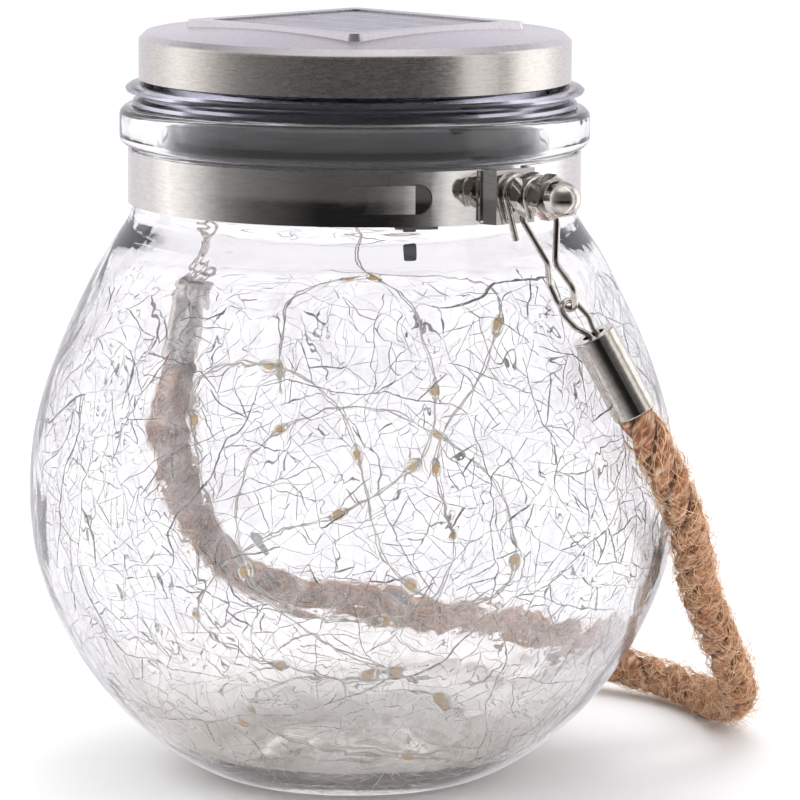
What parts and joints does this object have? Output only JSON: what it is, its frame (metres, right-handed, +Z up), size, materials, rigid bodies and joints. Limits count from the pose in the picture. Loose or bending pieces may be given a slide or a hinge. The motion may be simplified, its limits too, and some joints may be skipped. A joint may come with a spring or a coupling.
{
  "type": "solar jar lantern",
  "caption": "Globe-shaped crackle glass jar lantern with a push-in solar lid, a string of small lights hanging inside, a steel neck band and a rope handle on bolted hooks.",
  "frame": {"origin": "centre of the base, on the surface the jar stands on", "axes": "+Z up, X along the line of the two handle bolts, +Y towards the side where the rope handle lies"},
  "size_m": [0.1471, 0.1694, 0.1551],
  "materials": {
    "crackle_glass": "clear with a crackle network",
    "polished_band": "mirror polished",
    "nickel": "nickel plated",
    "brushed_steel": "brushed along the rim",
    "solar_glass": "dark violet cell under clear resin",
    "silicone": "translucent",
    "black_plastic": "satin",
    "pale_plastic": "satin, slightly translucent",
    "battery_sleeve": "printed film",
    "green_board": "solder mask",
    "lead_sleeve": "wire sleeve",
    "string_wire": "thin coated silver wire",
    "bead_resin": "clear drop over an amber chip",
    "jute": "hairy twisted rope"
  },
  "bodies": {
    "jar": {"glass_jar": "crackle_glass", "neck_band": "polished_band", "lug_bolt_right": "nickel", "lug_bolt_left": "nickel", "hex_nut_right": "nickel", "hex_nut_left": "nickel", "acorn_nut_right": "nickel", "acorn_nut_left": "nickel"},
    "lid": {"lid_cap": "brushed_steel", "solar_cell": "solar_glass", "lid_gasket": "silicone", "lid_housing": "black_plastic", "housing_cover": "pale_plastic", "cover_screws": "nickel", "battery": "battery_sleeve", "battery_holder": "black_plastic", "battery_contacts": "nickel", "circuit_board": "green_board", "switch_body": "black_plastic", "string_grommet": "silicone", "solar_leads": "lead_sleeve", "led_string_wire": "string_wire", "led_beads": "bead_resin"},
    "switch": {"switch_knob": "black_plastic"},
    "handle": {"wire_hook_right": "nickel", "wire_hook_left": "nickel", "ferrule_eye_right": "nickel", "ferrule_eye_left": "nickel", "ferrule_right": "nickel", "ferrule_left": "nickel", "rope_handle": "jute"}
  },
  "joints": [
    {"name": "lid_lift", "type": "slide", "parent": "jar", "child": "lid", "axis": [0, 0, 1], "range_m": [0, 0.15]},
    {"name": "switch_slide", "type": "slide", "parent": "lid", "child": "switch", "axis": [0.6428, 0.766, 0], "range_m": [0, 0.0028]},
    {"name": "handle_swing", "type": "hinge", "parent": "jar", "child": "handle", "pos_m": [0, 0, 0.1243], "axis": [1, 0, 0], "range_deg": [0, 270]}
  ]
}
